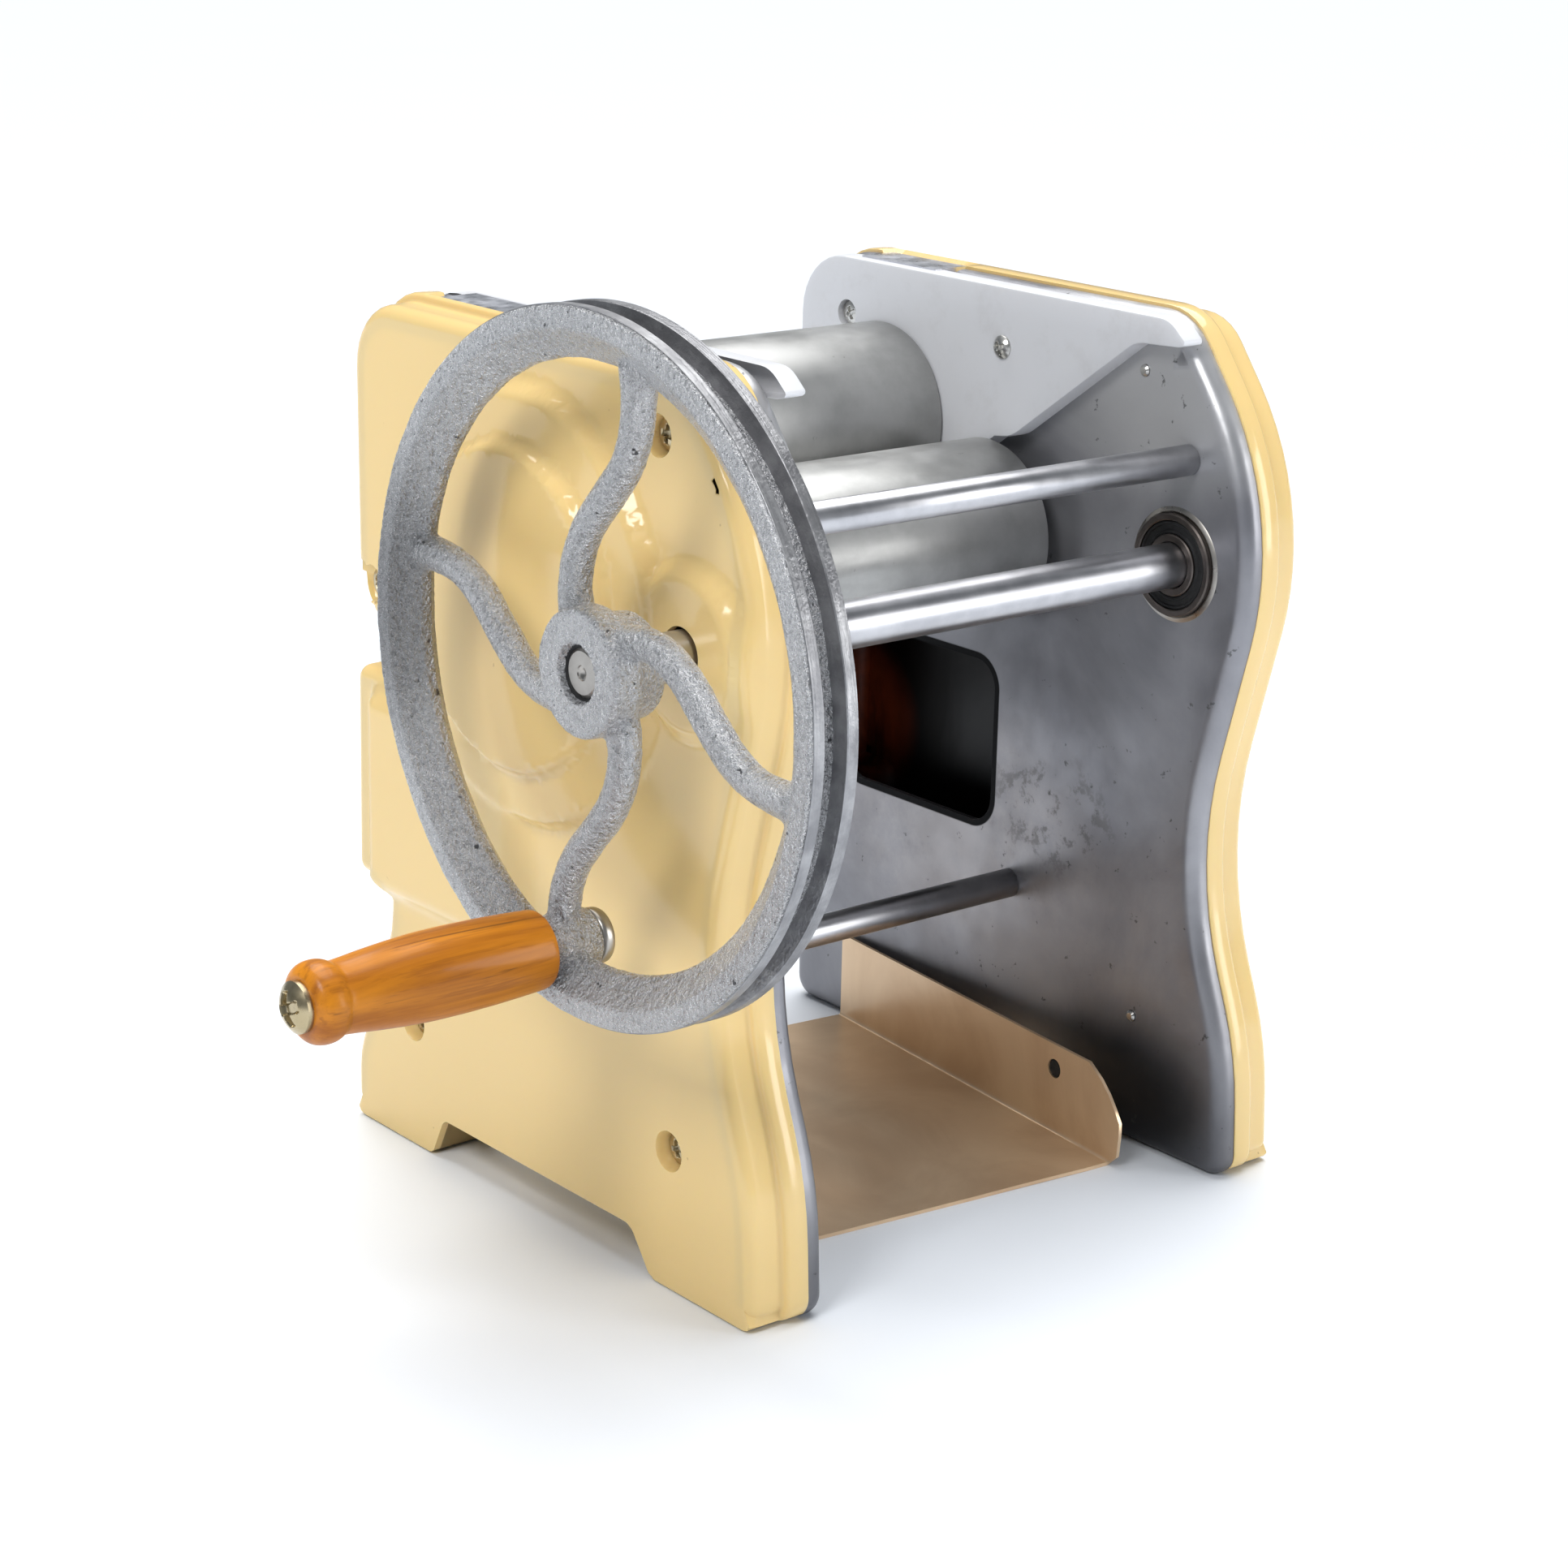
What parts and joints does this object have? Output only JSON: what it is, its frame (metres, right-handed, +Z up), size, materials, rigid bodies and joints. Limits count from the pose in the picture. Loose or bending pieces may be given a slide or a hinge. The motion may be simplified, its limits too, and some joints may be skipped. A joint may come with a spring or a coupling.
{
  "type": "manual dough sheeter",
  "caption": "Hand-cranked dough sheeter: two rollers between steel sides with plastic covers, spoked cast handwheel with wooden grip, white hopper cheeks and a loose catch tray.",
  "frame": {"origin": "middle of the bounding box at table height", "axes": "+X along the roller axes, from the handwheel side to the knob side; +Y from the catch tray to the back; +Z up"},
  "size_m": [0.3054, 0.2412, 0.2539],
  "materials": {
    "steel_sheet": "dull, stained",
    "cream_plastic": "glossy, warm cream",
    "bright_rod": "polished",
    "zinc_steel": "zinc plated",
    "brass_screw": "yellow zinc, dull",
    "nylon": "white",
    "seal_rubber": "matte",
    "bronze": "sintered bronze",
    "roller_steel": "ground, faint marks",
    "gear_steel": "oiled",
    "cast_alloy": "sand cast, machined rim",
    "varnished_wood": "orange-brown varnish",
    "black_plastic": "moulded",
    "tray_steel": "bright cold-rolled",
    "black_steel": "black oxide",
    "light_strip": "satin"
  },
  "bodies": {
    "frame": {"near_side_plate": "steel_sheet", "far_side_plate": "steel_sheet", "near_cover": "cream_plastic", "far_cover": "cream_plastic", "tie_rod_upper": "bright_rod", "tie_rod_lower": "bright_rod", "tie_rod_rear": "bright_rod", "tie_rod_screws": "zinc_steel", "near_cheek": "nylon", "far_cheek": "nylon", "cheek_screws": "zinc_steel", "cover_screws": "brass_screw", "crank_bearings": "bright_rod", "bearing_seals": "seal_rubber", "bearing_housings": "zinc_steel", "roller_bushes": "bronze", "block_guides": "zinc_steel", "scrapers": "zinc_steel", "top_strips": "light_strip"},
    "crank": {"crank_shaft": "bright_rod", "handwheel": "cast_alloy", "hub_set_screw": "black_steel", "pinion": "gear_steel", "shaft_circlips": "black_steel", "handle_bolt": "zinc_steel", "handle_nut": "zinc_steel"},
    "grip": {"handle_grip": "varnished_wood"},
    "front_roller": {"front_roller": "roller_steel", "drive_gear": "gear_steel", "front_mesh_gear": "gear_steel", "front_gear_screws": "zinc_steel"},
    "carriage": {"slide_blocks": "bronze"},
    "rear_roller": {"rear_roller": "roller_steel", "rear_mesh_gear": "gear_steel", "rear_gear_screw": "zinc_steel"},
    "adjuster": {"adjuster_shaft": "bright_rod", "scroll_cams": "gear_steel", "thickness_knob": "black_plastic", "knob_screw": "zinc_steel"},
    "tray": {"catch_tray": "tray_steel"}
  },
  "joints": [
    {"name": "crank_spin", "type": "hinge", "parent": "frame", "child": "crank", "pos_m": [0.0453, -0.03511, 0.16842], "axis": [1, 0, 0], "continuous": true},
    {"name": "grip_spin", "type": "hinge", "parent": "crank", "child": "grip", "pos_m": [-0.1147, -0.02051, 0.09669], "axis": [1, 0, 0], "continuous": true},
    {"name": "front_roller_spin", "type": "hinge", "parent": "frame", "child": "front_roller", "pos_m": [0.0453, 0.03191, 0.1662], "axis": [1, 0, 0], "continuous": true},
    {"name": "carriage_slide", "type": "slide", "parent": "frame", "child": "carriage", "axis": [0, 0.866, 0.5], "range_m": [0, 0.003]},
    {"name": "rear_roller_spin", "type": "hinge", "parent": "carriage", "child": "rear_roller", "pos_m": [0.0453, 0.07737, 0.19245], "axis": [1, 0, 0], "continuous": true},
    {"name": "adjuster_turn", "type": "hinge", "parent": "frame", "child": "adjuster", "pos_m": [0.0453, 0.08611, 0.16], "axis": [1, 0, 0], "range_deg": [0, 270.01]},
    {"name": "tray_slide", "type": "slide", "parent": "frame", "child": "tray", "axis": [0, -1, 0], "range_m": [0, 0.09]}
  ],
  "couplings": [
    {"joint": "front_roller_spin", "follows": "crank_spin", "ratio": -0.34},
    {"joint": "rear_roller_spin", "follows": "crank_spin", "ratio": 0.34},
    {"joint": "adjuster_turn", "follows": "carriage_slide", "rad_per_m": 1570.8}
  ]
}
